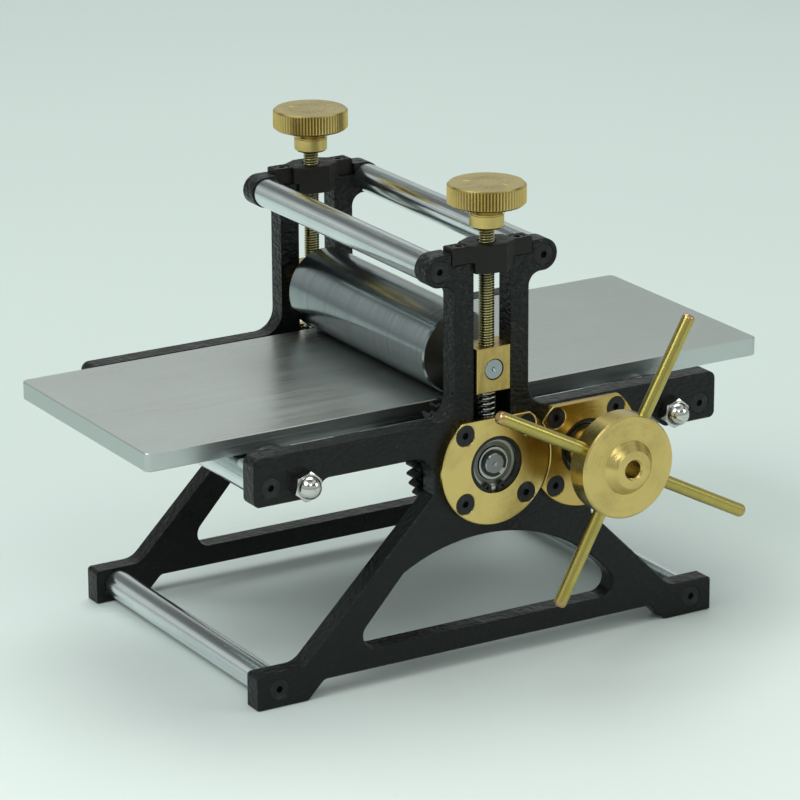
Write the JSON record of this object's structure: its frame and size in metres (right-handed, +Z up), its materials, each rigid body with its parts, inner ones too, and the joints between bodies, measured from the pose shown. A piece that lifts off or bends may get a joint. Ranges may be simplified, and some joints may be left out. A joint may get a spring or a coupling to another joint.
{
  "type": "etching press",
  "caption": "Tabletop etching press: black side plates, geared rollers with a sliding bed, sprung screw pressure on the upper roller and a spoked brass crank hub.",
  "frame": {"origin": "on the table under the roller axis, at the middle of the object's depth", "axes": "+X along the bed's travel, +Z up, -Y towards the crank"},
  "size_m": [0.266, 0.1815, 0.183],
  "materials": {
    "black_paint": "hammered black stove enamel",
    "ground_steel": "ground and polished",
    "black_screws": "black oxide",
    "blackened_steel": "oil blackened",
    "turned_brass": "turned, fine tool marks",
    "drawn_brass": "drawn rod, polished",
    "bearing_steel": "ground",
    "nickel_plate": "bright nickel plate",
    "spring_steel": "bright drawn wire",
    "yellow_zinc": "yellow passivated zinc on steel",
    "brushed_aluminium": "brushed lengthwise"
  },
  "bodies": {
    "frame": {"side_plate_near": "black_paint", "side_plate_far": "black_paint", "tie_rod_top_left": "ground_steel", "tie_rod_top_right": "ground_steel", "tie_rod_arm_left": "ground_steel", "tie_rod_arm_right": "ground_steel", "tie_rod_foot_left": "ground_steel", "tie_rod_foot_right": "ground_steel", "tie_rod_screws": "black_screws", "bridge_cap_near": "blackened_steel", "bridge_cap_far": "blackened_steel", "cap_screws": "black_screws", "roller_flange_near": "turned_brass", "roller_flange_far": "turned_brass", "drive_flange_near": "turned_brass", "drive_flange_far": "turned_brass", "flange_screws": "black_screws", "roller_bearing_outer_near": "bearing_steel", "roller_bearing_outer_far": "bearing_steel", "drive_bearing_outer_near": "bearing_steel", "drive_bearing_outer_far": "bearing_steel", "bearing_shields": "bearing_steel", "flange_circlips": "blackened_steel", "dome_nuts": "nickel_plate", "support_axle_left": "ground_steel", "support_axle_right": "ground_steel", "axle_spacers": "ground_steel", "return_spring_near": "spring_steel", "return_spring_far": "spring_steel"},
    "lower_roller_body": {"lower_roller": "ground_steel", "drive_gear": "blackened_steel", "gear_grub_screw": "black_screws", "roller_bearing_inner_near": "bearing_steel", "roller_bearing_inner_far": "bearing_steel", "roller_shaft_clips": "blackened_steel"},
    "crank_body": {"drive_shaft": "ground_steel", "drive_pinion": "blackened_steel", "drive_bearing_inner_near": "bearing_steel", "drive_bearing_inner_far": "bearing_steel", "drive_shaft_clip": "blackened_steel", "crank_hub": "turned_brass", "crank_grub_screws": "black_screws", "spoke_up": "drawn_brass", "spoke_right": "drawn_brass", "spoke_down": "drawn_brass", "spoke_left": "drawn_brass"},
    "support_left_body": {"support_roller_left": "ground_steel", "bed_guides_left": "ground_steel"},
    "support_right_body": {"support_roller_right": "ground_steel", "bed_guides_right": "ground_steel"},
    "upper_roller_body": {"upper_roller": "ground_steel"},
    "near_block_body": {"bearing_block_near": "turned_brass"},
    "far_block_body": {"bearing_block_far": "turned_brass"},
    "near_screw_body": {"pressure_screw_near": "yellow_zinc", "pressure_knob_near": "turned_brass"},
    "far_screw_body": {"pressure_screw_far": "yellow_zinc", "pressure_knob_far": "turned_brass"},
    "bed_body": {"bed": "brushed_aluminium"}
  },
  "joints": [
    {"name": "bed_slide", "type": "slide", "parent": "frame", "child": "bed_body", "axis": [1, 0, 0], "range_m": [-0.11, 0.11]},
    {"name": "lower_roller_spin", "type": "hinge", "parent": "frame", "child": "lower_roller_body", "pos_m": [0, 0.017, 0.0774], "axis": [0, 1, 0], "range_deg": [-490, 490]},
    {"name": "crank_spin", "type": "hinge", "parent": "frame", "child": "crank_body", "pos_m": [0.03938, -0.02, 0.0774], "axis": [0, 1, 0], "range_deg": [-975, 975]},
    {"name": "upper_roller_spin", "type": "hinge", "parent": "near_block_body", "child": "upper_roller_body", "pos_m": [0, 0.017, 0.1136], "axis": [0, 1, 0], "range_deg": [-400, 400]},
    {"name": "support_left_spin", "type": "hinge", "parent": "frame", "child": "support_left_body", "pos_m": [-0.0796, 0.017, 0.0835], "axis": [0, 1, 0], "range_deg": [-925, 925]},
    {"name": "support_right_spin", "type": "hinge", "parent": "frame", "child": "support_right_body", "pos_m": [0.0796, 0.017, 0.0835], "axis": [0, 1, 0], "range_deg": [-925, 925]},
    {"name": "near_block_slide", "type": "slide", "parent": "frame", "child": "near_block_body", "axis": [0, 0, 1], "range_m": [0, 0.006], "deforming": ["return_spring_near"]},
    {"name": "far_block_slide", "type": "slide", "parent": "frame", "child": "far_block_body", "axis": [0, 0, 1], "range_m": [0, 0.006], "deforming": ["return_spring_far"]},
    {"name": "near_screw_turn", "type": "hinge", "parent": "near_block_body", "child": "near_screw_body", "pos_m": [0, -0.0515, 0.15], "axis": [0, 0, 1], "range_deg": [0, 2165]},
    {"name": "far_screw_turn", "type": "hinge", "parent": "far_block_body", "child": "far_screw_body", "pos_m": [0, 0.0765, 0.15], "axis": [0, 0, 1], "range_deg": [0, 2165]}
  ],
  "couplings": [
    {"joint": "lower_roller_spin", "follows": "bed_slide", "rad_per_m": 76.923},
    {"joint": "crank_spin", "follows": "bed_slide", "rad_per_m": -153.85},
    {"joint": "upper_roller_spin", "follows": "bed_slide", "rad_per_m": -62.5},
    {"joint": "support_left_spin", "follows": "bed_slide", "rad_per_m": 144.93},
    {"joint": "support_right_spin", "follows": "bed_slide", "rad_per_m": 144.93},
    {"joint": "far_block_slide", "follows": "near_block_slide", "ratio": 1},
    {"joint": "near_screw_turn", "follows": "near_block_slide", "rad_per_m": 6283.2},
    {"joint": "far_screw_turn", "follows": "near_block_slide", "rad_per_m": 6283.2}
  ]
}
